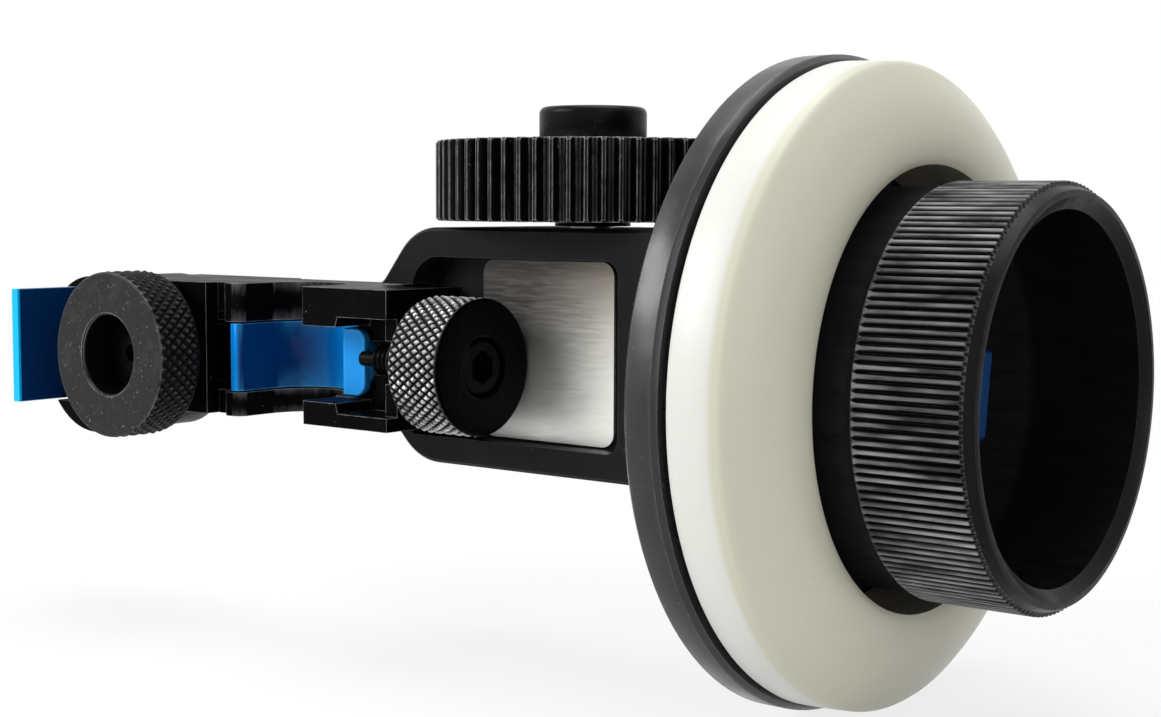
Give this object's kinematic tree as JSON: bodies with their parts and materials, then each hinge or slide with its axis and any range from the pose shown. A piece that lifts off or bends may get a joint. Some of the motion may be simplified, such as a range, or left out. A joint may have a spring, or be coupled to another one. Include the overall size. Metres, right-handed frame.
{
  "type": "follow focus unit",
  "caption": "Follow focus unit for 15 mm rods with hand wheel, white marking disc, mitre gearbox, drive gear and a rod clamp with a sliding jaw and a pressure pad",
  "frame": {"origin": "Middle of the rod seat, on the axis of the rod", "axes": "+X along the hand wheel's axle, out of the wheel; +Y away from the side with the plate and the lock knobs; +Z along the rod, up to the drive gear"},
  "size_m": [0.186, 0.094, 0.094],
  "materials": {
    "black_anodised": "satin, fine grained",
    "black_turned": "turned, semi gloss",
    "blue_anodised": "satin anodised",
    "white_plastic": "smooth, semi matt",
    "bare_plate": "fine brushed",
    "bright_steel": "polished",
    "bronze": "oiled",
    "magnet_nickel": "nickel plated"
  },
  "bodies": {
    "frame": {"clamp_arm": "black_anodised", "jaw_bracket": "black_anodised", "jaw_keeper": "black_anodised", "keeper_screws": "bright_steel", "bracket_screws": "bright_steel", "arm_screws": "bright_steel", "screw_bush": "black_anodised", "gearbox_housing": "black_anodised", "gearbox_lid": "black_anodised", "lid_screws": "bright_steel", "name_plate": "bare_plate", "axle_bush_inner": "bronze", "axle_bush_outer": "bronze", "spindle_bush": "bronze"},
    "wheel": {"wheel_axle": "bright_steel", "axle_mitre_gear": "bright_steel", "wheel_flange": "black_turned", "flange_screws": "bright_steel", "flange_magnets": "magnet_nickel", "hand_knob": "black_anodised", "crank_socket": "blue_anodised"},
    "disc": {"marking_disc": "white_plastic", "disc_magnets": "magnet_nickel"},
    "output": {"gear_spindle": "bright_steel", "spindle_mitre_gear": "bright_steel", "gear_collar": "black_turned", "drive_gear": "black_turned", "gear_cap_nut": "black_turned"},
    "jaw": {"rod_jaw": "blue_anodised"},
    "shoe": {"jaw_shoe": "bronze"},
    "left_knob": {"jaw_knob": "black_turned", "jaw_lock_screw": "black_turned"},
    "pad": {"pressure_pad": "blue_anodised"},
    "right_knob": {"pressure_knob": "black_turned", "pressure_screw": "black_turned"}
  },
  "joints": [
    {"name": "wheel_spin", "type": "hinge", "parent": "frame", "child": "wheel", "pos_m": [0.0878, 0.0195, 0], "axis": [1, 0, 0], "continuous": true},
    {"name": "gear_spin", "type": "hinge", "parent": "frame", "child": "output", "pos_m": [0.046, 0.0195, 0.029], "axis": [0, 0, 1], "continuous": true},
    {"name": "disc_lift", "type": "slide", "parent": "wheel", "child": "disc", "axis": [1, 0, 0], "range_m": [0, 0.038]},
    {"name": "jaw_slide", "type": "slide", "parent": "frame", "child": "jaw", "axis": [-1, 0, 0], "range_m": [0, 0.004]},
    {"name": "shoe_slide", "type": "slide", "parent": "frame", "child": "shoe", "axis": [0, -1, 0], "range_m": [0, 0.0017]},
    {"name": "jaw_knob_spin", "type": "hinge", "parent": "shoe", "child": "left_knob", "pos_m": [-0.027, -0.0193, 0.00015], "axis": [0, -1, 0], "range_deg": [0, 720]},
    {"name": "pad_slide", "type": "slide", "parent": "frame", "child": "pad", "axis": [-1, 0, 0], "range_m": [0, 0.0036]},
    {"name": "pad_knob_spin", "type": "hinge", "parent": "pad", "child": "right_knob", "pos_m": [0.0363, -0.0017, 0.0008], "axis": [-1, 0, 0], "range_deg": [0, 1188]}
  ],
  "couplings": [
    {"joint": "gear_spin", "follows": "wheel_spin", "ratio": -1},
    {"joint": "shoe_slide", "follows": "jaw_knob_spin", "m_per_rad": 0.00012732},
    {"joint": "pad_slide", "follows": "pad_knob_spin", "m_per_rad": 0.00015915}
  ]
}
